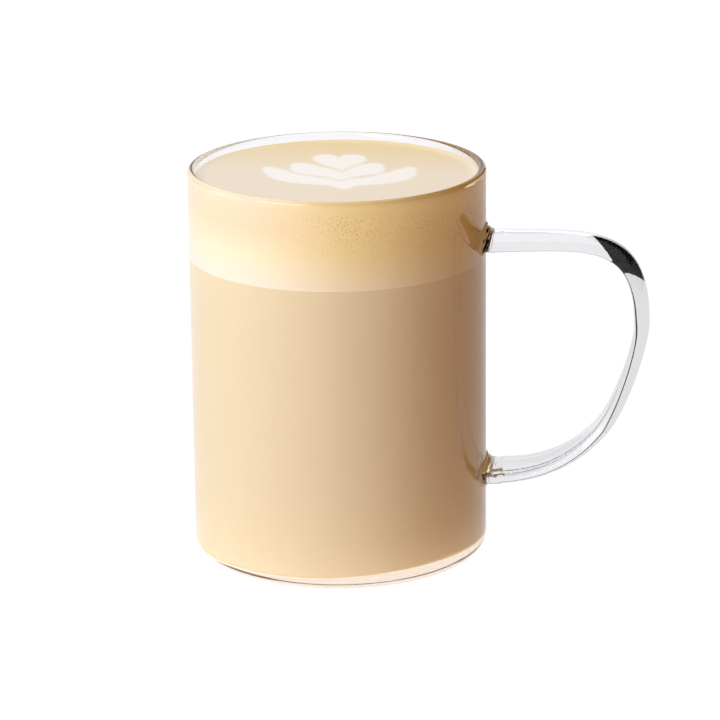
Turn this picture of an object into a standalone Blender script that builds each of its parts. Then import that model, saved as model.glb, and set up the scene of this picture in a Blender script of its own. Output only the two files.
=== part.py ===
"""A latte in a clear glass mug with a drawn strap handle: coffee, milk foam and a poured tulip of milk.

Metres, +Z up. The origin is on the cup's axis at its flat underside, and the handle points along +X.
"""

import math

import bmesh
import bpy

# Cup, blown borosilicate glass
CUP_RADIUS = 0.0400
CUP_HEIGHT = 0.1070
WALL = 0.0022
BASE_THICKNESS = 0.0034
OUTER_CORNER = 0.0045
INNER_CORNER = 0.0012

# Handle, a strap of glass welded on at both ends, round outside and nearly flat towards the fingers
HANDLE_WIDTH = 0.0138
HANDLE_BULGE = 0.0041
HANDLE_FLAT = 0.0008
BULGE_POWER = 2.0
FLAT_POWER = 3.0
SECTION_INSET = 0.0012
HANDLE_TOP_Z = 0.0874
HANDLE_FOOT_Z = 0.0224
HANDLE_REACH = 0.0817
REACH_Z = 0.0655
KNEE_X, KNEE_Z = 0.0709, 0.0356
KNEE_SLOPE = math.radians(49)
TOP_PULLS = 0.0275, 0.0275
SIDE_PULLS = 0.0060, 0.0080
LOWER_PULLS = 0.0135, 0.0137
THIN_MIDDLE = 0.82
FOOT_SWELL = 1.08
TOP_FLARE = 0.42
FOOT_FLARE = 0.26
WELD_LENGTH = 0.0018
WELD_STEPS = 0.6, 1.2, 1.8, 2.5, 3.4
WELD_END = 4.4
STRAP_ROOT = CUP_RADIUS - 0.75 * WALL

# Drink
FOAM_BOTTOM = 0.0830
FOAM_TOP = 0.1046
FOAM_EDGE = 0.0005

# Poured milk figure: three layers, each opening away from the drinker
FIGURE_TURN = math.radians(5)
FIGURE_SHIFT = 0.0011
FIGURE_SKEW = -0.10
HEART_SIZE = 0.0076, 0.0096
HEART_MIDDLE = 0.0134
LEAF_SIZE = {"half_span": 0.0126, "middle": -0.0022, "rise": 0.0107, "power": 0.9, "half_depth": 0.0046}
LEAF_ENDS = {"end_swell": 0.0, "point": 0.0008}
WINGS_SIZE = {"half_span": 0.0208, "middle": -0.0102, "rise": 0.0170, "power": 1.35, "half_depth": 0.0019}
WINGS_ENDS = {"end_swell": 0.0080, "point": 0.0045}
POINT_SHARE = 0.22
MILK_THICKNESS = 0.0012
POCKET_DEPTH = 0.0015
POCKET_GROW = 0.0005
CUT_OVER = 0.0010

# Fineness and fit
GAP = 0.0003
TURN_STEPS = 88
ARC_STEPS = 5
RIM_STEPS = 8
STRAP_STEPS = 18
SECTION_STEPS = 20
FIGURE_STEPS = 16


def clear_scene():
    for obj in list(bpy.data.objects):
        bpy.data.objects.remove(obj, do_unlink=True)


def new_collection(name):
    collection = bpy.data.collections.new(name)
    bpy.context.scene.collection.children.link(collection)
    return collection


def principled(name, colour, roughness, transmission=0.0, ior=1.45):
    material = bpy.data.materials.new(name)
    material.use_nodes = True
    shader = material.node_tree.nodes["Principled BSDF"]
    shader.inputs["Base Color"].default_value = (*colour, 1)
    shader.inputs["Roughness"].default_value = roughness
    shader.inputs["Metallic"].default_value = 0.0
    shader.inputs["Transmission Weight"].default_value = transmission
    shader.inputs["IOR"].default_value = ior
    material.diffuse_color = (*colour, 1)
    return material


def arc(centre_x, centre_z, radius, start, end, steps):
    """Points of an arc in the turning plane, from start to end in degrees, both included."""
    angles = (math.radians(start + (end - start) * k / steps) for k in range(steps + 1))
    return [(centre_x + radius * math.cos(a), centre_z + radius * math.sin(a)) for a in angles]


def turned(name, profile, collection, material):
    """A solid turned about the Z axis. The profile runs down its outer side."""
    mesh = bpy.data.meshes.new(name)
    mesh.from_pydata([(x, 0, z) for x, z in profile], [(k, k + 1) for k in range(len(profile) - 1)], [])
    obj = bpy.data.objects.new(name, mesh)
    collection.objects.link(obj)
    screw = obj.modifiers.new("turn", "SCREW")
    screw.steps = screw.render_steps = TURN_STEPS
    screw.use_merge_vertices = True
    screw.merge_threshold = 0.00005
    screw.use_smooth_shade = True
    mesh.materials.append(material)
    return obj


def cup_profile():
    """From the middle of the well, up the inner wall, over the rounded rim and down the outside."""
    inner = CUP_RADIUS - WALL
    rim = WALL / 2
    well = arc(inner - INNER_CORNER, BASE_THICKNESS + INNER_CORNER, INNER_CORNER, -90, 0, ARC_STEPS)
    lip = arc(inner + rim, CUP_HEIGHT - rim, rim, 180, 0, RIM_STEPS)
    heel = arc(CUP_RADIUS - OUTER_CORNER, OUTER_CORNER, OUTER_CORNER, 0, -90, ARC_STEPS)
    return [(0, BASE_THICKNESS)] + well + lip + heel + [(0, 0)]


def coffee_profile():
    """The well's shape, one gap inside it, from the foam down."""
    radius = CUP_RADIUS - WALL - GAP
    corner = INNER_CORNER - GAP
    bottom = BASE_THICKNESS + GAP
    top = FOAM_BOTTOM - GAP
    heel = arc(radius - corner, bottom + corner, corner, 0, -90, ARC_STEPS)
    return [(0, top), (radius, top)] + heel + [(0, bottom)]


def foam_profile():
    radius = CUP_RADIUS - WALL - GAP
    return [
        (0, FOAM_TOP),
        (radius - FOAM_EDGE, FOAM_TOP),
        (radius, FOAM_TOP - FOAM_EDGE),
        (radius, FOAM_BOTTOM),
        (0, FOAM_BOTTOM),
    ]


def bezier(a, b, c, d, t):
    weights = (1 - t) ** 3, 3 * (1 - t) ** 2 * t, 3 * (1 - t) * t * t, t**3
    return tuple(sum(w * p[k] for w, p in zip(weights, (a, b, c, d))) for k in range(2))


def handle_path():
    """The strap's centre line in the XZ plane, from the upper weld round the bend to the lower weld."""
    top = STRAP_ROOT, HANDLE_TOP_Z
    reach = HANDLE_REACH, REACH_Z
    knee = KNEE_X, KNEE_Z
    foot = STRAP_ROOT, HANDLE_FOOT_Z
    lean_x, lean_z = math.cos(KNEE_SLOPE), math.sin(KNEE_SLOPE)
    stretches = (
        (top, (STRAP_ROOT + TOP_PULLS[0], HANDLE_TOP_Z), (HANDLE_REACH, REACH_Z + TOP_PULLS[1]), reach),
        (
            reach,
            (HANDLE_REACH, REACH_Z - SIDE_PULLS[0]),
            (KNEE_X + SIDE_PULLS[1] * lean_x, KNEE_Z + SIDE_PULLS[1] * lean_z),
            knee,
        ),
        (
            knee,
            (KNEE_X - LOWER_PULLS[0] * lean_x, KNEE_Z - LOWER_PULLS[0] * lean_z),
            (STRAP_ROOT + LOWER_PULLS[1], HANDLE_FOOT_Z),
            foot,
        ),
    )
    points = [top]
    for stretch in stretches:
        points += [bezier(*stretch, k / STRAP_STEPS) for k in range(1, STRAP_STEPS + 1)]
    return points


def weld_points(points):
    """The path with extra points close to each weld, where the glass flares on to the wall."""
    first, last = points[0], points[-1]
    steps = [WELD_LENGTH * k for k in WELD_STEPS]
    clear = first[0] + WELD_END * WELD_LENGTH
    middle = [p for p in points[1:-1] if p[0] > clear]
    return (
        [first]
        + [(first[0] + step, first[1]) for step in steps]
        + middle
        + [(last[0] + step, last[1]) for step in reversed(steps)]
        + [last]
    )


def strap_scale(points):
    """How thick the strap is: full at the ends, thinner round the far side, and flared on to the wall."""
    lengths = [0.0]
    for (x0, z0), (x1, z1) in zip(points, points[1:]):
        lengths.append(lengths[-1] + math.hypot(x1 - x0, z1 - z0))
    scales = []
    for (x, _), length in zip(points, lengths):
        share = length / lengths[-1]
        thin = THIN_MIDDLE + (1 - THIN_MIDDLE) * abs(2 * share - 1) ** 2.0
        swell = 1 + (FOOT_SWELL - 1) * max(0.0, 2 * share - 1) ** 2
        flare = TOP_FLARE if share < 0.5 else FOOT_FLARE
        off_wall = max(0.0, x - CUP_RADIUS)
        scales.append(thin * swell + flare * math.exp(-off_wall / WELD_LENGTH))
    return scales


def strap_section():
    """Half an ellipse outside and half a rounded rectangle towards the fingers, as wide as each other."""
    points = []
    for k in range(SECTION_STEPS):
        angle = 2 * math.pi * k / SECTION_STEPS
        c, s = math.cos(angle), math.sin(angle)
        depth, power = (HANDLE_BULGE, BULGE_POWER) if c > 0 else (HANDLE_FLAT, FLAT_POWER)
        outward = math.copysign(abs(c) ** (2 / power), c) * depth - SECTION_INSET
        across = math.copysign(abs(s) ** (2 / power), s) * HANDLE_WIDTH / 2
        points.append((-outward, across))
    return points


def poly_curve(name, points, cyclic, radii=None):
    curve = bpy.data.curves.new(name, "CURVE")
    curve.dimensions = "2D"
    spline = curve.splines.new("POLY")
    spline.points.add(len(points) - 1)
    for k, (x, y) in enumerate(points):
        spline.points[k].co = (x, y, 0, 1)
        spline.points[k].radius = radii[k] if radii else 1.0
    spline.use_cyclic_u = cyclic
    return curve


def as_mesh(curve_object, collection):
    """The curve object's evaluated shape as a closed mesh object in the same place."""
    bpy.context.view_layer.update()
    graph = bpy.context.evaluated_depsgraph_get()
    mesh = bpy.data.meshes.new_from_object(curve_object.evaluated_get(graph))
    work = bmesh.new()
    work.from_mesh(mesh)
    bmesh.ops.remove_doubles(work, verts=work.verts, dist=0.00001)
    bmesh.ops.recalc_face_normals(work, faces=work.faces)
    work.to_mesh(mesh)
    work.free()
    mesh.shade_smooth()
    mesh.set_sharp_from_angle(angle=math.radians(50))
    obj = bpy.data.objects.new(curve_object.name.replace("_curve", ""), mesh)
    obj.matrix_world = curve_object.matrix_world.copy()
    collection.objects.link(obj)
    curve = curve_object.data
    bpy.data.objects.remove(curve_object, do_unlink=True)
    bpy.data.curves.remove(curve)
    return obj


def strap_handle(helpers, material):
    section_curve = poly_curve("strap_section", strap_section(), True)
    section = bpy.data.objects.new("strap_section", section_curve)
    helpers.objects.link(section)
    points = weld_points(handle_path())
    curve = poly_curve("strap_curve", points, False, strap_scale(points))
    curve.fill_mode = "NONE"
    curve.bevel_mode = "OBJECT"
    curve.bevel_object = section
    curve.use_fill_caps = True
    obj = bpy.data.objects.new("strap_curve", curve)
    obj.rotation_euler = (math.radians(90), 0, 0)
    helpers.objects.link(obj)
    strap = as_mesh(obj, helpers)
    bpy.data.objects.remove(section, do_unlink=True)
    bpy.data.curves.remove(section_curve)
    strap.data.materials.append(material)
    return strap


def helper_only(obj):
    obj.hide_render = True
    obj.display_type = "WIRE"


def boolean(obj, other, operation):
    modifier = obj.modifiers.new(operation.lower() + "_" + other.name, "BOOLEAN")
    modifier.operation = operation
    modifier.solver = "EXACT"
    modifier.object = other


def glass_mug(parts, helpers):
    glass = principled("borosilicate glass", (0.97, 0.98, 0.98), 0.02, 1.0, 1.47)
    mug = turned("mug", cup_profile(), parts, glass)
    strap = strap_handle(helpers, glass)
    helper_only(strap)
    boolean(mug, strap, "UNION")
    return mug


def heart(grow=0.0):
    """The topmost layer: two round lobes away from the drinker and a point towards them."""
    half_width, half_depth = (size + grow for size in HEART_SIZE)
    points = []
    for k in range(2 * FIGURE_STEPS):
        t = math.pi * k / FIGURE_STEPS
        x = math.sin(t) ** 3
        y = (13 * math.cos(t) - 5 * math.cos(2 * t) - 2 * math.cos(3 * t) - math.cos(4 * t) + 2.5) / 14.5
        points.append((half_width * x, HEART_MIDDLE + half_depth * y))
    return points[::-1]


def chevron(half_span, middle, rise, power, half_depth, end_swell, point):
    """A swept leaf: its spine climbs on both sides of a pointed middle, and its ends are round."""
    upper, lower = [], []
    for k in range(1, 2 * FIGURE_STEPS):
        u = -math.cos(math.pi * k / (2 * FIGURE_STEPS))
        spine = middle + rise * abs(u) ** power
        depth = (half_depth + end_swell * abs(u) ** 2) * math.sqrt(1 - abs(u) ** 6)
        tip = point * max(0.0, 1 - abs(u) / POINT_SHARE) ** 1.5
        upper.append((half_span * u, spine + depth))
        lower.append((half_span * u, spine - depth - tip))
    end = middle + rise
    return [(-half_span, end)] + lower + [(half_span, end)] + upper[::-1]


def grown(outline, distance):
    """The outline, which runs anticlockwise, with each point moved straight outward."""
    points = []
    for k, (x, y) in enumerate(outline):
        x0, y0 = outline[k - 1]
        x1, y1 = outline[(k + 1) % len(outline)]
        length = math.hypot(x1 - x0, y1 - y0)
        points.append((x + distance * (y1 - y0) / length, y - distance * (x1 - x0) / length))
    return points


def plate(name, outline, thickness, bottom, collection):
    """A flat outline of that thickness as a mesh, drawn a little askew and turned to face the drinker."""
    curve = poly_curve(name + "_curve", [(x + FIGURE_SKEW * y, y) for x, y in outline], True)
    curve.fill_mode = "BOTH"
    curve.extrude = thickness / 2
    obj = bpy.data.objects.new(name + "_curve", curve)
    obj.rotation_euler = (0, 0, FIGURE_TURN)
    obj.location = (FIGURE_SHIFT, 0, bottom + thickness / 2)
    collection.objects.link(obj)
    return as_mesh(obj, collection)


def drink(parts, helpers):
    coffee = principled("coffee with milk", (0.70, 0.45, 0.23), 0.35)
    foam = principled("milk foam", (0.83, 0.68, 0.48), 0.55)
    milk = principled("poured milk", (0.94, 0.90, 0.84), 0.5)
    turned("coffee", coffee_profile(), parts, coffee)
    foam_body = turned("foam", foam_profile(), parts, foam)
    leaf = chevron(**LEAF_SIZE, **LEAF_ENDS)
    wings = chevron(**WINGS_SIZE, **WINGS_ENDS)
    layers = (
        ("milk_heart", heart(), heart(POCKET_GROW)),
        ("milk_leaf", leaf, grown(leaf, POCKET_GROW)),
        ("milk_wings", wings, grown(wings, POCKET_GROW)),
    )
    for name, outline, hole in layers:
        inlay = plate(name, outline, MILK_THICKNESS, FOAM_TOP - MILK_THICKNESS, parts)
        inlay.data.materials.append(milk)
        pocket_bottom = FOAM_TOP - POCKET_DEPTH
        pocket = plate(name + "_pocket", hole, POCKET_DEPTH + CUT_OVER, pocket_bottom, helpers)
        helper_only(pocket)
        boolean(foam_body, pocket, "DIFFERENCE")


def main():
    clear_scene()
    parts = new_collection("latte")
    helpers = new_collection("latte helpers")
    glass_mug(parts, helpers)
    drink(parts, helpers)


main()
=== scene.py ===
"""The looks of a latte in a clear glass mug: blown glass, coffee with milk, foam and a poured tulip."""

import math

import bmesh
import bpy
from mathutils import Matrix, Vector, kdtree, noise


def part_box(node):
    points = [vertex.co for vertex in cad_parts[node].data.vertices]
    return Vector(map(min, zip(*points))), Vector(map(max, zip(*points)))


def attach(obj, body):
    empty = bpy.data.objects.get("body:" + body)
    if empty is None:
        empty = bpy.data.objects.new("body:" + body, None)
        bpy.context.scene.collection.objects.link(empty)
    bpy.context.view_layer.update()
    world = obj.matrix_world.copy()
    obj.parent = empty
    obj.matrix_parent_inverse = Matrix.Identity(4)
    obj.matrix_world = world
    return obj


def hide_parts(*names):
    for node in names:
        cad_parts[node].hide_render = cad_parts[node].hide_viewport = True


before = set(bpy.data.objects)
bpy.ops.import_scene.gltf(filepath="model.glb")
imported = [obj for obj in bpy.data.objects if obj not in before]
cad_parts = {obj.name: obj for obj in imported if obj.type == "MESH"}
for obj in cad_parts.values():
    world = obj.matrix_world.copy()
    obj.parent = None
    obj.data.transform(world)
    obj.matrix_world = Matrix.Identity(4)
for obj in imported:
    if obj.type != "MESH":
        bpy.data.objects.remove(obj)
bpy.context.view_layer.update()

MM = 0.001
TOUCH = 0.01 * MM

# Sizes taken from the solids
MUG_LOW, MUG_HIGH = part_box("mug")
CUP_RADIUS = -MUG_LOW.x
CUP_HEIGHT = MUG_HIGH.z
FOAM_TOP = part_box("foam")[1].z
COFFEE_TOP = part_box("coffee")[1].z
FOAM_BOTTOM = (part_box("foam")[0].z + COFFEE_TOP) / 2
FIT_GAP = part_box("foam")[0].z - COFFEE_TOP
WELL_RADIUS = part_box("coffee")[1].x + FIT_GAP
WELL_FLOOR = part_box("coffee")[0].z - FIT_GAP
WALL = CUP_RADIUS - WELL_RADIUS

# Cup
HEEL_RADIUS = 4.5 * MM
WELL_CORNER = 1.2 * MM

# The base is thicker towards the handle and a little thinner on the other side, fading out up the wall
BASE_WEDGE = 1.9 * MM
WEDGE_OTHER_SIDE = 0.4
WEDGE_EASE = 0.6
WEDGE_FADE = 6.0 * MM
WEDGE_LOWEST = 2.0 * MM

# Handle strap, round outside and nearly flat towards the fingers
STRAP_WIDTH = 13.8 * MM
STRAP_BULGE = 4.1 * MM
STRAP_FLAT = 0.8 * MM
BULGE_POWER = 2.0
FLAT_POWER = 3.0
SECTION_INSET = 1.2 * MM
STRAP_TOP_Z = 87.4 * MM
STRAP_FOOT_Z = 22.4 * MM
STRAP_ROOT = CUP_RADIUS - 0.75 * WALL
REACH_X, REACH_Z = 81.7 * MM, 65.5 * MM
KNEE_X, KNEE_Z = 70.9 * MM, 35.6 * MM
KNEE_SLOPE = math.radians(49)
TOP_PULLS = 27.5 * MM, 27.5 * MM
SIDE_PULLS = 6.0 * MM, 8.0 * MM
LOWER_PULLS = 13.5 * MM, 13.7 * MM
THIN_MIDDLE = 0.82
FOOT_SWELL = 1.08

# Welds that sweep the strap out on to the wall
WELD_LENGTH = 3.6 * MM
WELD_CLEAR = 0.5 * MM
WELD_SUNK = 0.5 * MM
WELD_ABOVE, WELD_BESIDE, WELD_BELOW = 2.8 * MM, 1.8 * MM, 1.4 * MM

# Wrinkles in the welds' glass: waves along the sweep, lean outward, lean sideways, height
WRINKLES = ((16, 3, 0, 0.2 * MM), (9, 0, -11, 0.1 * MM))

# Drink
INTO_WALL = 0.12 * MM
# How high the coffee's painted glow reaches above its bottom face
UNDERSIDE_DEPTH = 0.4 * MM
FOAM_SINK = 0.1 * MM
RIM_BAND = 0.3 * MM
CLING_HEIGHT, CLING_FRONT = 0.5 * MM, 1.1 * MM
CLING_WIDTH, CLING_POWER = 4.0 * MM, 3
BUBBLE_CELL = 0.6 * MM
BUBBLE_PATCH = 14 * MM
FOAM_GRAIN = 0.5 * MM
GRAIN_DEPTH = 0.1 * MM

# Poured milk figure
FIGURE_TURN = math.radians(5)
FIGURE_SHIFT = 1.1 * MM
FIGURE_SKEW = -0.10
FIGURE_REACH = 28 * MM
HEART = {"half_width": 7.3 * MM, "half_depth": 9.6 * MM, "middle": 13.4 * MM, "shift": 0.5 * MM}
LEAF = {"half_span": 12.8 * MM, "half_depth": 5.2 * MM, "end_swell": 3.0 * MM, "point": 0.4 * MM}
LEAF_SHIFT = -0.5 * MM
LEAF_MIDDLE, LEAF_RISE = -0.7 * MM, 8.3 * MM
WINGS = {"half_span": 20.8 * MM, "half_depth": 3.5 * MM, "end_swell": 6.5 * MM, "point": 4.6 * MM}
WINGS_MIDDLE, WINGS_RISE = -8.2 * MM, 13.5 * MM
POINT_SHARE = 0.22
LINE_BETWEEN = 0.8 * MM
EDGE_SOFTNESS = 1.3 * MM
EDGE_WAVER, WAVER_SIZE, WAVER_SLICE = 0.25 * MM, 2.2 * MM, 0.3
OUTLINE_SPACING = 0.15 * MM

# Fineness
SHARP_ANGLE = math.radians(50)
CUP_TURN, COFFEE_TURN, FOAM_TURN = 256, 192, 360
ARC_STEPS = 16
WALL_STEPS = 12
FLOOR_STEPS = 4
COFFEE_TOP_STEPS, COFFEE_SIDE_STEPS = 8, 16
FOAM_TOP_STEPS, FOAM_SIDE_STEPS = 90, 24
STRAP_STEPS, STRAP_RINGS, WELD_RINGS = 40, 170, 28
SECTION_STEPS = 96
FIGURE_STEPS = 96

# How much glass and liquid bend light
GLASS_IOR = 1.47
LIQUID_IOR = 1.34

# Camera, from the photograph's perspective
VIEW_AZIMUTH = math.radians(8)
VIEW_ELEVATION = math.radians(16.95)
VIEW_ROLL = math.radians(0.677)
VIEW_DISTANCE = 1.0
FOCAL_PIXELS = 3682.3
PICTURE_PIXELS = 720
AXIS_PIXEL = 338.8, 357.0
SENSOR = 36.0
CLIP_NEAR, CLIP_FAR = 0.05, 20

# Where the lamps point, the middle of the mug
LIGHTS_AIM = 0, 0, 0.055

# Where the glow of the floor and the sweep passes from one strength to the next
STRAIGHT_SPAN = 0.03, 0.09
MIRRORED_SPAN = -0.02, 0.06
UNDER_SPAN = 0.036, 0.075


def linear(hex_colour):
    """An sRGB hex colour as linear red, green, blue and full alpha."""
    channels = [int(hex_colour[k : k + 2], 16) / 255 for k in (1, 3, 5)]
    return (*(c / 12.92 if c <= 0.04045 else ((c + 0.055) / 1.055) ** 2.4 for c in channels), 1.0)


def add_node(tree, kind, settings=None, **links):
    """Adds a node with its settings and fills its sockets, which are given by name or by number, such as _0.

    A value is set, and another node's socket is linked."""
    node = tree.nodes.new(kind)
    for key, value in (settings or {}).items():
        setattr(node, key, value)
    for key, value in links.items():
        socket = node.inputs[int(key[1:])] if key[1:].isdigit() else node.inputs[key.replace("_", " ")]
        if isinstance(value, bpy.types.NodeSocket):
            tree.links.new(value, socket)
        else:
            socket.default_value = value
    return node


def blank_material(name):
    material = bpy.data.materials.new(name)
    material.use_nodes = True
    tree = material.node_tree
    tree.nodes.clear()
    return material, tree, tree.nodes.new("ShaderNodeOutputMaterial")


# Glass


def borosilicate_glass():
    """Clear low-iron borosilicate, blown and fire-polished: no colour of its own, and as smooth as water."""
    material, tree, out = blank_material("borosilicate_glass")
    body = add_node(
        tree,
        "ShaderNodeBsdfPrincipled",
        Base_Color=linear("#FDFEFE"),
        Roughness=0.0,
        IOR=GLASS_IOR,
        Transmission_Weight=1.0,
    )
    clear = add_node(tree, "ShaderNodeBsdfTransparent", Color=linear("#F4F5F6"))
    in_shadow = add_node(tree, "ShaderNodeLightPath").outputs["Is Shadow Ray"]
    shaders = {"_1": body.outputs["BSDF"], "_2": clear.outputs["BSDF"]}
    both = add_node(tree, "ShaderNodeMixShader", _0=in_shadow, **shaders)
    tree.links.new(both.outputs["Shader"], out.inputs["Surface"])
    return material


def arc(centre_x, centre_z, radius, start, end):
    """Points of an arc from start to end in degrees, both included."""
    angles = (math.radians(start + (end - start) * k / ARC_STEPS) for k in range(ARC_STEPS + 1))
    return [(centre_x + radius * math.cos(a), centre_z + radius * math.sin(a)) for a in angles]


def straight(start, end, steps):
    """Points between start and end, with both ends left out."""
    return [tuple(a + (b - a) * k / steps for a, b in zip(start, end)) for k in range(1, steps)]


def as_piece(name, work):
    mesh = bpy.data.meshes.new(name)
    work.to_mesh(mesh)
    work.free()
    mesh.shade_smooth()
    mesh.set_sharp_from_angle(angle=SHARP_ANGLE)
    piece = bpy.data.objects.new(name, mesh)
    bpy.context.scene.collection.objects.link(piece)
    return piece


def turned(name, profile, steps):
    """A closed mesh turned about Z from a profile that starts and ends on the axis."""
    work = bmesh.new()
    verts = [work.verts.new((x, 0, z)) for x, z in profile]
    edges = [work.edges.new(pair) for pair in zip(verts, verts[1:])]
    round_z = {"cent": (0, 0, 0), "axis": (0, 0, 1), "angle": 2 * math.pi}
    bmesh.ops.spin(work, geom=verts + edges, steps=steps, use_merge=True, **round_z)
    bmesh.ops.remove_doubles(work, verts=work.verts, dist=TOUCH)
    bmesh.ops.recalc_face_normals(work, faces=work.faces)
    return as_piece(name, work)


def finish_piece(piece, material, slot, *nodes):
    piece.data.materials.clear()
    piece.data.materials.append(material)
    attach(piece, "root")
    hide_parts(*nodes)


def cup_profile():
    """From the middle of the well, up the inner wall, over the rim and down to the middle of the foot."""
    rim = WALL / 2
    well = arc(WELL_RADIUS - WELL_CORNER, WELL_FLOOR + WELL_CORNER, WELL_CORNER, -90, 0)
    lip = arc(WELL_RADIUS + rim, CUP_HEIGHT - rim, rim, 180, 0)
    heel = arc(CUP_RADIUS - HEEL_RADIUS, HEEL_RADIUS, HEEL_RADIUS, 0, -90)
    floor, foot = (0, WELL_FLOOR), (0, 0)
    inner_wall = straight(well[-1], lip[0], WALL_STEPS)
    outer_wall = straight(lip[-1], heel[0], WALL_STEPS)
    well_floor = straight(floor, well[0], FLOOR_STEPS)
    painted_base_glow = straight(heel[-1], foot, FLOOR_STEPS)
    return [floor] + well_floor + well + inner_wall + lip + outer_wall + heel + painted_base_glow + [foot]


def bezier(a, b, c, d, t):
    weights = (1 - t) ** 3, 3 * (1 - t) ** 2 * t, 3 * (1 - t) * t * t, t**3
    return Vector(sum(w * p[k] for w, p in zip(weights, (a, b, c, d))) for k in range(2))


def evenly(points, count):
    """The same line with its points a constant distance apart."""
    lengths = [0.0]
    for a, b in zip(points, points[1:]):
        lengths.append(lengths[-1] + (b - a).length)
    out, k = [], 0
    for i in range(count + 1):
        want = lengths[-1] * i / count
        while k < len(points) - 2 and lengths[k + 1] < want:
            k += 1
        share = (want - lengths[k]) / (lengths[k + 1] - lengths[k])
        out.append(points[k].lerp(points[k + 1], share))
    return out


def strap_path(start_x):
    """The strap's centre line in the XZ plane, from the upper weld round to the lower one."""
    lean_x, lean_z = math.cos(KNEE_SLOPE), math.sin(KNEE_SLOPE)
    top, foot = (STRAP_ROOT, STRAP_TOP_Z), (STRAP_ROOT, STRAP_FOOT_Z)
    reach, knee = (REACH_X, REACH_Z), (KNEE_X, KNEE_Z)
    stretches = (
        (top, (STRAP_ROOT + TOP_PULLS[0], STRAP_TOP_Z), (REACH_X, REACH_Z + TOP_PULLS[1]), reach),
        (
            reach,
            (REACH_X, REACH_Z - SIDE_PULLS[0]),
            (KNEE_X + SIDE_PULLS[1] * lean_x, KNEE_Z + SIDE_PULLS[1] * lean_z),
            knee,
        ),
        (
            knee,
            (KNEE_X - LOWER_PULLS[0] * lean_x, KNEE_Z - LOWER_PULLS[0] * lean_z),
            (STRAP_ROOT + LOWER_PULLS[1], STRAP_FOOT_Z),
            foot,
        ),
    )
    points = []
    for stretch in stretches:
        points += [bezier(*stretch, k / STRAP_STEPS) for k in range(STRAP_STEPS + 1)][1 if points else 0 :]
    middle = [p for p in points if p.x > start_x + WELD_CLEAR]
    ends = Vector((start_x, STRAP_TOP_Z)), Vector((start_x, STRAP_FOOT_Z))
    return evenly([ends[0]] + middle + [ends[1]], STRAP_RINGS)


def section_point(angle):
    """A point of the strap's section, and the direction that faces outward there."""
    c, s = math.cos(angle), math.sin(angle)
    depth, power = (STRAP_BULGE, BULGE_POWER) if c > 0 else (STRAP_FLAT, FLAT_POWER)
    a = math.copysign(abs(c) ** (2 / power), c) * depth - SECTION_INSET
    b = math.copysign(abs(s) ** (2 / power), s) * STRAP_WIDTH / 2
    out_a = math.copysign(abs(c) ** (2 - 2 / power), c) / depth
    out_b = math.copysign(abs(s) ** (2 - 2 / power), s) / STRAP_WIDTH * 2
    length = math.hypot(out_a, out_b)
    return a, b, out_a / length, out_b / length


SECTION = [section_point(2 * math.pi * (k + 0.5) / SECTION_STEPS) for k in range(SECTION_STEPS)]


def strap_scale(share):
    """How thick the strap is: thinner round the far side, and a little stouter at the foot."""
    thin = THIN_MIDDLE + (1 - THIN_MIDDLE) * abs(2 * share - 1) ** 2
    return thin * (1 + (FOOT_SWELL - 1) * max(0.0, 2 * share - 1) ** 2)


def weld_rings(z, scale, upward):
    """Rings that sweep the strap's end out on to the cup's wall, the last one sunk in the glass."""
    rings = []
    for k in range(WELD_RINGS + 2):
        turn = math.radians(90) * min(k, WELD_RINGS) / WELD_RINGS
        sunk = WELD_SUNK if k > WELD_RINGS else 0.0
        ring = []
        for a, b, out_a, out_b in SECTION:
            above = out_a * upward
            fillet = WELD_BESIDE + (WELD_ABOVE - WELD_BESIDE) * max(0, above)
            fillet += (WELD_BELOW - WELD_BESIDE) * max(0, -above)
            waves = (h * math.sin(n * turn + lean * out_a + side * out_b) for n, lean, side, h in WRINKLES)
            off = fillet * (1 - math.sin(turn)) - sunk + math.sin(2 * turn) * sum(waves)
            grow = fillet * (1 - math.cos(turn))
            y = b * scale + out_b * grow
            x = math.sqrt((CUP_RADIUS + off) ** 2 - y * y)
            ring.append((x, y, z + (a * scale + out_a * grow) * upward))
        rings.append(ring)
    return rings


def strap_handle():
    """The handle as a loft of its section that sweeps on to the wall at both ends."""
    path = strap_path(CUP_RADIUS + WELD_LENGTH)
    rings = weld_rings(STRAP_TOP_Z, strap_scale(0), 1)[::-1]
    for k, point in enumerate(path):
        before, after = path[max(k - 1, 0)], path[min(k + 1, len(path) - 1)]
        along = (after - before).normalized()
        across = Vector((-along.y, along.x))
        scale = strap_scale(k / (len(path) - 1))
        section = [(point + across * a * scale, b * scale) for a, b, _, _ in SECTION]
        rings.append([(place.x, sideways, place.y) for place, sideways in section])
    rings += weld_rings(STRAP_FOOT_Z, strap_scale(1), -1)
    work = bmesh.new()
    rows = [[work.verts.new(p) for p in ring] for ring in rings]
    for row, following in zip(rows, rows[1:]):
        for k in range(len(row)):
            j = (k + 1) % len(row)
            work.faces.new((row[k], row[j], following[j], following[k]))
    work.faces.new(rows[0])
    work.faces.new(rows[-1][::-1])
    bmesh.ops.recalc_face_normals(work, faces=work.faces)
    return as_piece("strap", work)


def fused(first, second):
    """first with second joined on by a union, as one mesh. second is used up."""
    join = first.modifiers.new("join", "BOOLEAN")
    join.operation = "UNION"
    join.solver = "EXACT"
    join.object = second
    graph = bpy.context.evaluated_depsgraph_get()
    mesh = bpy.data.meshes.new_from_object(first.evaluated_get(graph))
    first.modifiers.clear()
    first.data = mesh
    bpy.data.objects.remove(second, do_unlink=True)
    mesh.shade_smooth()
    mesh.set_sharp_from_angle(angle=SHARP_ANGLE)
    return first


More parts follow.
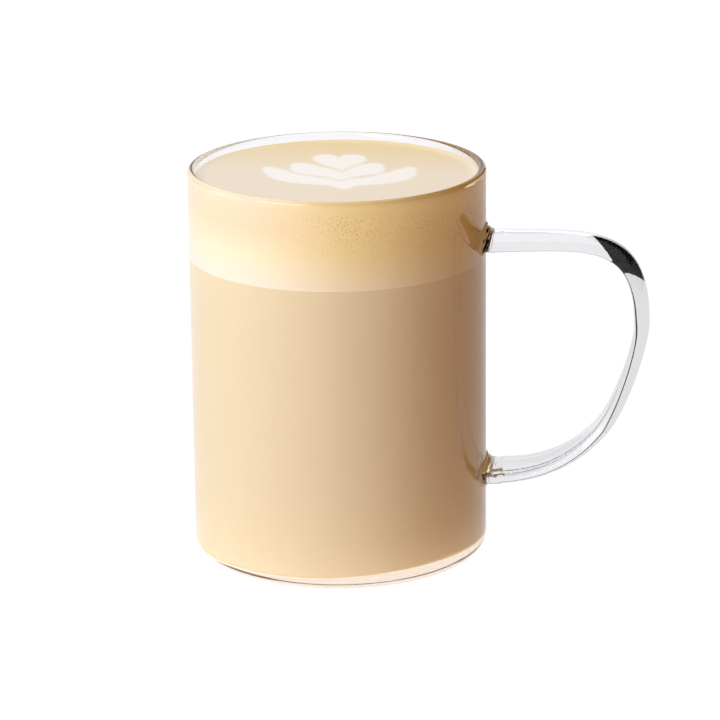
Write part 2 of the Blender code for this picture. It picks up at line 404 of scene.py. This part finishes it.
def tilt_floor(mesh, radius):
    """Lifts the well's floor and corner unevenly: a blown base is thicker towards the handle."""
    fade_end = WELL_FLOOR + WELL_CORNER + WEDGE_FADE
    for vert in mesh.vertices:
        x, y, z = vert.co
        if math.hypot(x, y) < radius + TOUCH and WEDGE_LOWEST < z < fade_end:
            share = min(1.0, max(0.0, (fade_end - z) / WEDGE_FADE))
            across = x / WELL_RADIUS if x > 0 else WEDGE_OTHER_SIDE * x / WELL_RADIUS
            vert.co.z += share * BASE_WEDGE * across * (1 - WEDGE_EASE * across**4)


def glass_mug():
    cup = turned("glass_mug", cup_profile(), CUP_TURN)
    tilt_floor(cup.data, WELL_RADIUS)
    finish_piece(fused(cup, strap_handle()), borosilicate_glass(), "clear_glass", "mug")


# Drink


def coffee_material():
    """Espresso stirred into hot milk: an opaque light tan, with no shine where it wets the glass.

    Its bottom face is painted a pale cream, a painted glow, so that the clear base under it looks lit."""
    material, tree, out = blank_material("coffee_with_milk")
    painted_base_glow = add_node(tree, "ShaderNodeAttribute", {"attribute_name": "painted_base_glow"}).outputs["Fac"]
    # Pale cream on the bottom face: a painted glow, not the coffee's own colour
    tint = {"_0": painted_base_glow, "_6": linear("#E8CEA3"), "_7": linear("#FFF9EE")}
    body = add_node(
        tree,
        "ShaderNodeBsdfPrincipled",
        Base_Color=add_node(tree, "ShaderNodeMix", {"data_type": "RGBA"}, **tint).outputs[2],
        Roughness=0.4,
        IOR=LIQUID_IOR,
        Specular_IOR_Level=0.0,
    )
    tree.links.new(body.outputs["BSDF"], out.inputs["Surface"])
    return material


def coffee_body():
    radius = WELL_RADIUS + INTO_WALL
    floor = WELL_FLOOR - INTO_WALL
    corner = WELL_CORNER + INTO_WALL
    heel = arc(radius - corner, floor + corner, corner, 0, -90)
    middle, edge = (0, FOAM_BOTTOM), (radius, FOAM_BOTTOM)
    top = [middle] + straight(middle, edge, COFFEE_TOP_STEPS) + [edge]
    side = straight(edge, heel[0], COFFEE_SIDE_STEPS) + heel + [(0, floor)]
    body = turned("coffee_body", top + side, COFFEE_TURN)
    # Marks the bottom face for a painted glow: the light a clear base gathers, painted into the coffee's
    # colour
    mark = body.data.attributes.new("painted_base_glow", "FLOAT", "POINT")
    for vert, value in zip(body.data.vertices, mark.data):
        value.value = 1.0 if vert.co.z < floor + UNDERSIDE_DEPTH else 0.0
    tilt_floor(body.data, radius)
    finish_piece(body, coffee_material(), "milky_coffee", "coffee")


def heart(half_width, half_depth, middle, shift):
    """The topmost layer, from the common heart curve: two round lobes, and a point towards the drinker."""
    points = []
    for k in range(FIGURE_STEPS):
        t = 2 * math.pi * k / FIGURE_STEPS
        y = (13 * math.cos(t) - 5 * math.cos(2 * t) - 2 * math.cos(3 * t) - math.cos(4 * t) + 2.5) / 14.5
        points.append((shift + half_width * math.sin(t) ** 3, middle + half_depth * y))
    return points


def chevron(spine_at, half_span, half_depth, end_swell, point, shift=0.0):
    """A swept leaf: its spine climbs on both sides of a pointed middle, and its ends are round."""
    upper, lower = [], []
    for k in range(1, FIGURE_STEPS):
        u = -math.cos(math.pi * k / FIGURE_STEPS)
        spine = spine_at(abs(u))
        depth = (half_depth + end_swell * u**2) * math.sqrt(1 - u**6)
        tip = point * max(0.0, 1 - abs(u) / POINT_SHARE) ** 1.5
        upper.append((shift + half_span * u, spine + depth))
        lower.append((shift + half_span * u, spine - depth - tip))
    end = spine_at(1.0)
    return [(shift - half_span, end)] + lower + [(shift + half_span, end)] + upper[::-1]


def leaf_spine(u):
    """Steep beside the point, and level at the ends."""
    return LEAF_MIDDLE + LEAF_RISE * math.sin(math.pi / 2 * u)


def wings_spine(u):
    """Level beside the point, and steep at the tips."""
    return WINGS_MIDDLE + WINGS_RISE * u**2


# The layers from the last poured to the first, leaning a little as in the photograph
LAYERS = heart(**HEART), chevron(leaf_spine, shift=LEAF_SHIFT, **LEAF), chevron(wings_spine, **WINGS)
FIGURE = [[(x + FIGURE_SKEW * y, y) for x, y in outline] for outline in LAYERS]


def inside(outline, x, y):
    within = False
    for (x0, y0), (x1, y1) in zip(outline, outline[1:] + outline[:1]):
        if (y0 > y) != (y1 > y) and x < x0 + (y - y0) * (x1 - x0) / (y1 - y0):
            within = not within
    return within


def outline_trees():
    """For each layer, a search tree of points close together along its outline."""
    trees = []
    for outline in FIGURE:
        dense = []
        for (x0, y0), (x1, y1) in zip(outline, outline[1:] + outline[:1]):
            steps = max(1, int(math.hypot(x1 - x0, y1 - y0) / OUTLINE_SPACING))
            dense += [(x0 + (x1 - x0) * k / steps, y0 + (y1 - y0) * k / steps) for k in range(steps)]
        tree = kdtree.KDTree(len(dense))
        for k, (x, y) in enumerate(dense):
            tree.insert((x, y, 0), k)
        tree.balance()
        trees.append(tree)
    return trees


def milk_share(trees, x, y):
    """1 on the poured milk, 0 on the stained foam, with a soft edge that wavers a little.

    A thin stained line stays where a layer pushes against the one poured after it."""
    c, s = math.cos(FIGURE_TURN), math.sin(FIGURE_TURN)
    fx, fy = c * (x - FIGURE_SHIFT) + s * y, c * y - s * (x - FIGURE_SHIFT)
    waver = EDGE_WAVER * noise.noise(Vector((fx, fy, WAVER_SLICE)) / WAVER_SIZE)
    best, above = 0.0, -1.0
    for outline, tree in zip(FIGURE, trees):
        _, _, distance = tree.find((fx, fy, 0))
        signed = (distance if inside(outline, fx, fy) else -distance) + waver
        shown = min(signed, -above - LINE_BETWEEN)
        best = max(best, min(1.0, max(0.0, 0.5 + shown / EDGE_SOFTNESS)))
        above = max(above, signed)
    return best


def foam_material():
    """Steamed milk foam, stained by the crema: matte and pale, with bubbles by the rim on the handle's side.
    The crema stain and the bubbles are kept to the handle's side, the shaded side, so its yellower, darker
    colour is partly painted shade.

    The poured milk on top is the same foam, unstained."""
    material, tree, out = blank_material("milk_foam")
    place = add_node(tree, "ShaderNodeTexCoord").outputs["Object"]
    x, y, z = add_node(tree, "ShaderNodeSeparateXYZ", Vector=place).outputs
    milk = add_node(tree, "ShaderNodeAttribute", {"attribute_name": "milk"}).outputs["Fac"]
    on_top = add_node(tree, "ShaderNodeAttribute", {"attribute_name": "top"}).outputs["Fac"]
    cells = add_node(tree, "ShaderNodeTexVoronoi", Vector=place, Scale=1 / BUBBLE_CELL, Randomness=1.0)
    patches = add_node(tree, "ShaderNodeTexNoise", Vector=place, Scale=1 / BUBBLE_PATCH, Detail=2.0)
    grain = add_node(tree, "ShaderNodeTexNoise", Vector=place, Scale=1 / FOAM_GRAIN, Detail=2.0)
    bump = add_node(tree, "ShaderNodeBump", Strength=0.15, Distance=GRAIN_DEPTH, Height=grain.outputs["Fac"])
    span = {"From_Min": FOAM_BOTTOM, "From_Max": FOAM_TOP - RIM_BAND}
    layer = add_node(tree, "ShaderNodeMapRange", Value=z, **span).outputs["Result"]

    # Shares of a coat: what each depends on, the span over which it changes, and its values at both ends
    shares = {
        # The handle's side is the shaded side: the coats that depend on this share are partly painted shade
        "shaded_side": (x, -18 * MM, 8 * MM, 0.0, 1.0),
        "far": (y, 4 * MM, 34 * MM, 0.0, 1.0),
        "behind": (y, -8 * MM, 6 * MM, 0.0, 1.0),
        "by_rim": (layer, 0.75, 0.95, 0.0, 1.0),
        "rising_stain": (layer, 0.0, 0.6, 0.3, 1.0),
        "upper": (layer, 0.3, 0.75, 0.0, 1.0),
        "below_rim": (layer, 0.93, 0.97, 1.0, 0.0),
        "crowd": (patches.outputs["Fac"], 0.35, 0.65, 0.25, 0.6),
        "bubble": (cells.outputs["Distance"], 0.24, 0.32, 1.0, 0.0),
    }
    for name, (value, low, high, at_low, at_high) in shares.items():
        span = {"From_Min": low, "From_Max": high, "To_Min": at_low, "To_Max": at_high}
        shares[name] = add_node(tree, "ShaderNodeMapRange", Value=value, **span).outputs["Result"]

    # The side, from the coffee up to the rim
    ramp = add_node(tree, "ShaderNodeValToRGB", Fac=layer)
    stops = (0.0, "#F8E2C6"), (0.35, "#F8E1B8"), (0.75, "#F2D2A6"), (1.0, "#F4D6AE")
    for place_up, _ in stops[1:-1]:
        ramp.color_ramp.elements.new(place_up)
    for element, (place_up, colour) in zip(ramp.color_ramp.elements, stops):
        element.position = place_up
        element.color = linear(colour)
    side = ramp.outputs["Color"]

    # Coats over it, each as thick as the product of its shares: pale foam, crema, and coffee in the bubbles.
    # The crema and the bubbles are kept to the handle's side, the shaded side, where their yellower, darker
    # colour is partly painted shade.
    coats = (
        ("#F6EAD8", ("behind", "by_rim")),
        ("#F6D692", ("rising_stain", "shaded_side")),
        ("#B98238", ("upper", "shaded_side", "below_rim", "crowd", "bubble")),
    )
    for colour, (first, *others) in coats:
        cover = shares[first]
        for name in others:
            both = {"_0": cover, "_1": shares[name]}
            cover = add_node(tree, "ShaderNodeMath", {"operation": "MULTIPLY"}, **both).outputs["Value"]
        coat = {"_0": cover, "_6": side, "_7": linear(colour)}
        side = add_node(tree, "ShaderNodeMix", {"data_type": "RGBA"}, **coat).outputs[2]

    # The top: crema, yellower away from the drinker, with the milk over it
    top = linear("#EEE5D4")
    for cover, colour in ((shares["far"], "#EEDCAE"), (milk, "#FAFBFA")):
        coat = {"_0": cover, "_6": top, "_7": linear(colour)}
        top = add_node(tree, "ShaderNodeMix", {"data_type": "RGBA"}, **coat).outputs[2]

    both = {"_0": on_top, "_6": side, "_7": top}
    body = add_node(
        tree,
        "ShaderNodeBsdfPrincipled",
        Base_Color=add_node(tree, "ShaderNodeMix", {"data_type": "RGBA"}, **both).outputs[2],
        Roughness=0.6,
        IOR=LIQUID_IOR,
        Normal=bump.outputs["Normal"],
    )
    tree.links.new(body.outputs["BSDF"], out.inputs["Surface"])
    return material


def foam_body():
    """The foam with the figure marked on its top, which clings to the wall, most on the drinker's side."""
    radius = WELL_RADIUS + INTO_WALL
    level = FOAM_TOP - FOAM_SINK
    middle, edge, bottom = (0, level), (radius, level), (radius, FOAM_BOTTOM)
    top_line = [middle] + straight(middle, edge, FOAM_TOP_STEPS) + [edge]
    side_line = straight(edge, bottom, FOAM_SIDE_STEPS) + [bottom, (0, FOAM_BOTTOM)]
    foam = turned("foam_body", top_line + side_line, FOAM_TURN)
    mesh = foam.data
    trees = outline_trees()
    milk = mesh.attributes.new("milk", "FLOAT", "POINT")
    top = mesh.attributes.new("top", "FLOAT", "POINT")
    for vert, milk_value, top_value in zip(mesh.vertices, milk.data, top.data):
        x, y, z = vert.co
        if z < level - TOUCH:
            continue
        off_axis = math.hypot(x, y)
        clinging = CLING_HEIGHT + CLING_FRONT * max(0.0, -y / radius)
        vert.co.z += clinging * max(0.0, 1 - (radius - off_axis) / CLING_WIDTH) ** CLING_POWER
        top_value.value = 1.0 if off_axis < radius - TOUCH else 0.0
        if off_axis < FIGURE_REACH:
            milk_value.value = milk_share(trees, x, y)
    finish_piece(foam, foam_material(), "milk_foam", "foam", "milk_heart", "milk_leaf", "milk_wings")


# Stage


def studio_surface(name, seen, lit, left_glow, right_glow, under_glow):
    """Stage matter: white to the camera, glowing through the glass, and warm in the light it scatters."""
    material, tree, out = blank_material(name)
    path = add_node(tree, "ShaderNodeLightPath").outputs
    place = add_node(tree, "ShaderNodeTexCoord").outputs["Object"]
    x = add_node(tree, "ShaderNodeSeparateXYZ", Vector=place).outputs["X"]
    off_axis = add_node(tree, "ShaderNodeVectorMath", {"operation": "LENGTH"}, _0=place).outputs["Value"]
    glows = []
    for value, (low, high), at_low, at_high in (
        (x, STRAIGHT_SPAN, left_glow, right_glow),
        (x, MIRRORED_SPAN, left_glow, right_glow),
        (off_axis, UNDER_SPAN, under_glow, 0.0),
    ):
        span = {"From_Min": low, "From_Max": high, "To_Min": at_low, "To_Max": at_high}
        glows.append(add_node(tree, "ShaderNodeMapRange", Value=value, **span).outputs["Result"])
    straight_on, mirrored, under = glows
    by_ray = {"_0": path["Is Glossy Ray"], "_2": straight_on, "_3": mirrored}
    by_glass = add_node(tree, "ShaderNodeMix", **by_ray).outputs[0]
    by_matter = add_node(tree, "ShaderNodeMix", _0=path["Diffuse Depth"], _2=by_glass, _3=under).outputs[0]
    strength = add_node(tree, "ShaderNodeMix", _0=path["Is Camera Ray"], _2=by_matter, _3=1.0).outputs[0]
    tint = {"_0": path["Diffuse Depth"], "_6": linear(seen), "_7": linear(lit)}
    body = add_node(
        tree,
        "ShaderNodeBsdfPrincipled",
        Base_Color=add_node(tree, "ShaderNodeMix", {"data_type": "RGBA"}, **tint).outputs[2],
        Roughness=0.9,
        Specular_IOR_Level=0.0,
        Emission_Color=linear("#FBFAFE"),
        Emission_Strength=strength,
    )
    tree.links.new(body.outputs["BSDF"], out.inputs["Surface"])
    material.cycles.emission_sampling = "NONE"
    return material


def black_cloth():
    """A black studio flag: it gives the glass the dark patch in the handle's bend."""
    material, tree, out = blank_material("black_flag")
    body = add_node(tree, "ShaderNodeBsdfDiffuse", Color=linear("#0A0A0B"))
    tree.links.new(body.outputs["BSDF"], out.inputs["Surface"])
    return material


def board(name, corner, along, up, material):
    """A flat board of the studio, from one corner along two edges."""
    corner, along, up = Vector(corner), Vector(along), Vector(up)
    mesh = bpy.data.meshes.new(name)
    mesh.from_pydata([corner, corner + along, corner + along + up, corner + up], [], [(0, 1, 2, 3)])
    mesh.materials.append(material)
    obj = bpy.data.objects.new(name, mesh)
    bpy.context.scene.collection.objects.link(obj)


def lamp(name, place, size, watts, colour):
    light = bpy.data.lights.new(name, "AREA")
    light.shape = "RECTANGLE"
    light.size, light.size_y = size
    light.energy = watts
    light.color = linear(colour)[:3]
    obj = bpy.data.objects.new(name, light)
    obj.location = place
    obj.rotation_euler = (Vector(LIGHTS_AIM) - Vector(place)).to_track_quat("-Z", "Y").to_euler()
    bpy.context.scene.collection.objects.link(obj)


def room():
    """The world round the studio: grey to the glass, warm to the drink."""
    world = bpy.data.worlds.new("studio")
    world.use_nodes = True
    tree = world.node_tree
    onto_matter = add_node(tree, "ShaderNodeLightPath").outputs["Diffuse Depth"]
    tint = {"_0": onto_matter, "_6": linear("#5A595E"), "_7": linear("#C8A055")}
    colour = add_node(tree, "ShaderNodeMix", {"data_type": "RGBA"}, **tint).outputs[2]
    tree.links.new(colour, tree.nodes["Background"].inputs["Color"])
    world.cycles.sampling_method = "NONE"
    bpy.context.scene.world = world


def studio():
    room()
    lamp("left_softbox", place=(-0.52, -0.72, 0.52), size=(0.7, 0.7), watts=8.4, colour="#CBE2FF")
    lamp("left_window", place=(-0.95, -0.05, 0.40), size=(0.6, 0.8), watts=3.0, colour="#B4DCFF")
    lamp("top_softbox", place=(-0.1, 0.2, 0.9), size=(0.8, 0.8), watts=3.6, colour="#DCEBFF")
    floor_glow = {"left_glow": 0.95, "right_glow": 0.70, "under_glow": 1.35}
    sweep_glow = {"left_glow": 0.85, "right_glow": 0.85, "under_glow": 0.0}
    floor = studio_surface("pale_floor", "#5A595C", "#CCA062", **floor_glow)
    board("floor", corner=(-3, -3, -0.2 * MM), along=(6, 0, 0), up=(0, 6, 0), material=floor)
    sweep = studio_surface("white_sweep", "#4A4A4A", "#D8D5DA", **sweep_glow)
    board("white_sweep", corner=(-1.3, 1.2, 0), along=(1.53, -0.1, 0), up=(0, 0, 1.3), material=sweep)
    flag = black_cloth()
    board("black_flag", corner=(0.19, 0.95, -0.1 * MM), along=(1.6, -0.7, 0), up=(0, 0, 1.2), material=flag)
    bpy.context.scene.view_settings.view_transform = "Standard"


def camera():
    lens = bpy.data.cameras.new("camera")
    lens.sensor_width = SENSOR
    lens.lens = FOCAL_PIXELS / PICTURE_PIXELS * SENSOR
    lens.shift_x = 0.5 - AXIS_PIXEL[0] / PICTURE_PIXELS
    lens.shift_y = AXIS_PIXEL[1] / PICTURE_PIXELS - 0.5
    lens.clip_start, lens.clip_end = CLIP_NEAR, CLIP_FAR
    eye = bpy.data.objects.new("camera", lens)
    a, e = VIEW_AZIMUTH, VIEW_ELEVATION
    back = Vector((math.sin(a) * math.cos(e), -math.cos(a) * math.cos(e), math.sin(e)))
    eye.location = Vector((0, 0, CUP_HEIGHT / 2)) + VIEW_DISTANCE * back
    look = (-back).to_track_quat("-Z", "Y").to_matrix().to_4x4()
    eye.rotation_euler = (look @ Matrix.Rotation(-VIEW_ROLL, 4, "Z")).to_euler()
    bpy.context.scene.collection.objects.link(eye)
    bpy.context.scene.camera = eye


glass_mug()
coffee_body()
foam_body()
studio()
camera()

bpy.context.view_layer.update()
